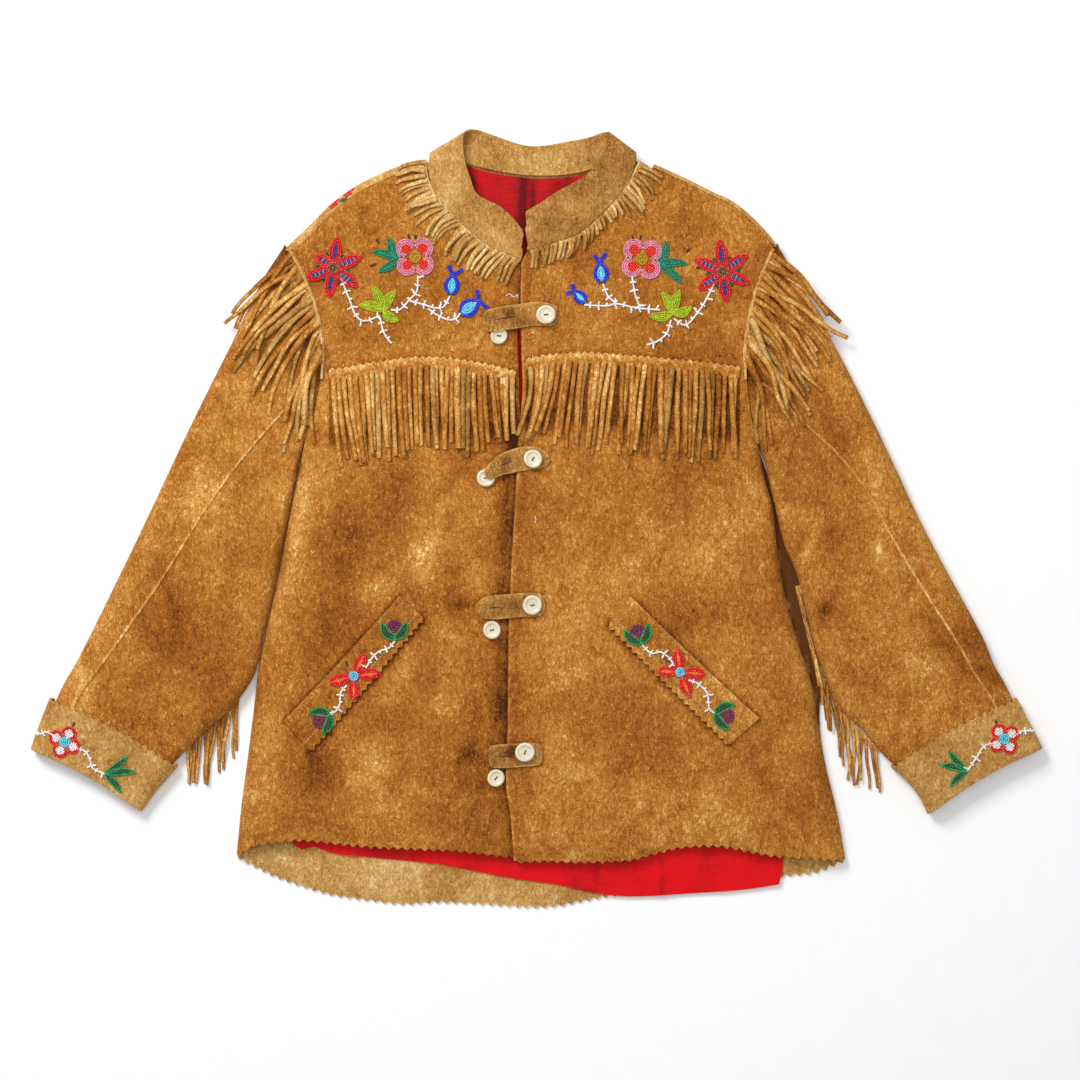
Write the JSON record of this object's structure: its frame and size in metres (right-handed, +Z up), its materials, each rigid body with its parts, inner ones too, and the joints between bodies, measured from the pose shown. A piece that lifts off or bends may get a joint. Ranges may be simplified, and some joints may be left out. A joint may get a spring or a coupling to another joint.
{
  "type": "beaded hide jacket",
  "caption": "Fringed, smoke-tanned hide jacket with floral beadwork, red lining, four button tabs and turned-back cuffs, laid flat on its back.",
  "frame": {"origin": "middle of the jacket's footprint, on the surface it lies on", "axes": "+X to the viewer's right across the sleeves, +Y from the hem to the collar, +Z up from the surface"},
  "size_m": [1.015, 0.7826, 0.0238],
  "materials": {
    "hide": "matt suede, mottled by smoke",
    "hide_light": "matt suede, lightly smoked",
    "lining": "smooth satin weave",
    "button": "cream, polished",
    "beads": "opaque seed beads in many colours"
  },
  "bodies": {
    "root": {"front_left": "hide", "front_right": "hide", "back_left": "hide_light", "back_right": "hide_light", "back_shoulder_left": "hide_light", "back_shoulder_right": "hide_light", "lining_back": "lining", "sleeve_front_left": "hide", "sleeve_back_left": "hide", "sleeve_front_right": "hide", "sleeve_back_right": "hide", "cuff_left": "hide_light", "cuff_right": "hide_light", "collar": "hide_light", "welt_left": "hide", "welt_right": "hide", "tab_1": "hide", "tab_2": "hide", "tab_3": "hide", "tab_4": "hide", "button_1": "button", "button_2": "button", "button_3": "button", "button_4": "button", "button_5": "button", "button_6": "button", "button_7": "button", "button_8": "button", "fringe_yoke_left": "hide", "fringe_yoke_right": "hide", "fringe_armhole_left": "hide", "fringe_armhole_right": "hide", "fringe_collar_left": "hide_light", "fringe_collar_right": "hide_light", "fringe_sleeve_left": "hide", "fringe_sleeve_right": "hide"}
  },
  "joints": []
}
